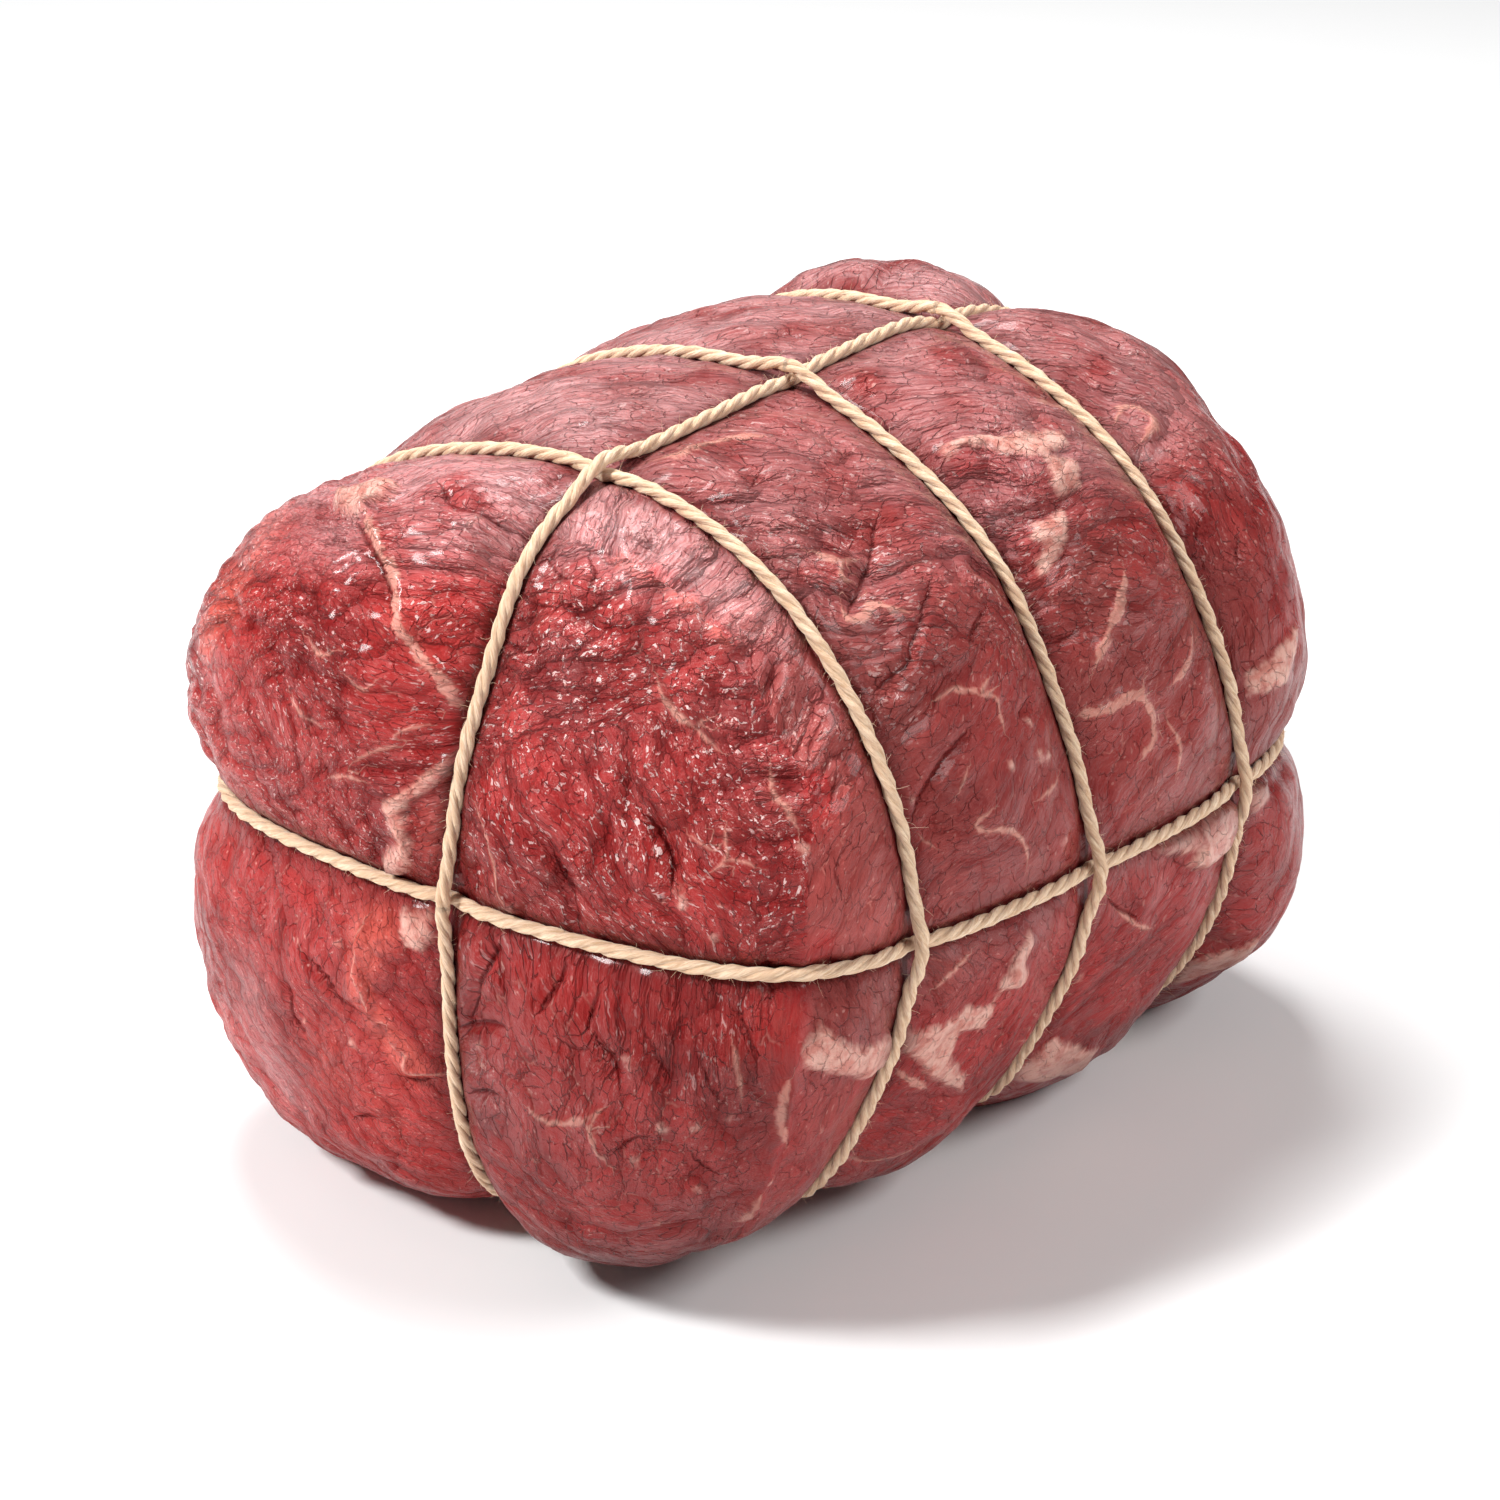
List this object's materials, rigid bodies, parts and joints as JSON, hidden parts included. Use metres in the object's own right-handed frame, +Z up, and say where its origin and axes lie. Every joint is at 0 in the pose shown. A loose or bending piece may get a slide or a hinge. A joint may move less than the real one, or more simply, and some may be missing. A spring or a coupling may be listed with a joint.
{
  "type": "raw tied beef roasting joint",
  "caption": "Boned and rolled joint of raw beef held in shape by loops of butcher's twine round its girth and along its length, ready for roasting.",
  "frame": {"origin": "on the table plane under the middle of the joint's bounding box", "axes": "+X along the joint from the front end to the back end, -Y the near side, +Z up; the joint rests on the flat of its underside at z = 0"},
  "size_m": [0.1732, 0.1446, 0.1326],
  "materials": {
    "beef": "moist raw beef, deep red with pale fat seams, satin with wet highlights",
    "twine": "undyed twisted natural twine, matt and slightly hairy"
  },
  "bodies": {
    "root": {"beef_joint": "beef", "twine_girth_front": "twine", "twine_girth_middle": "twine", "twine_girth_back": "twine", "twine_length_upright": "twine", "twine_length_level": "twine"}
  },
  "joints": []
}
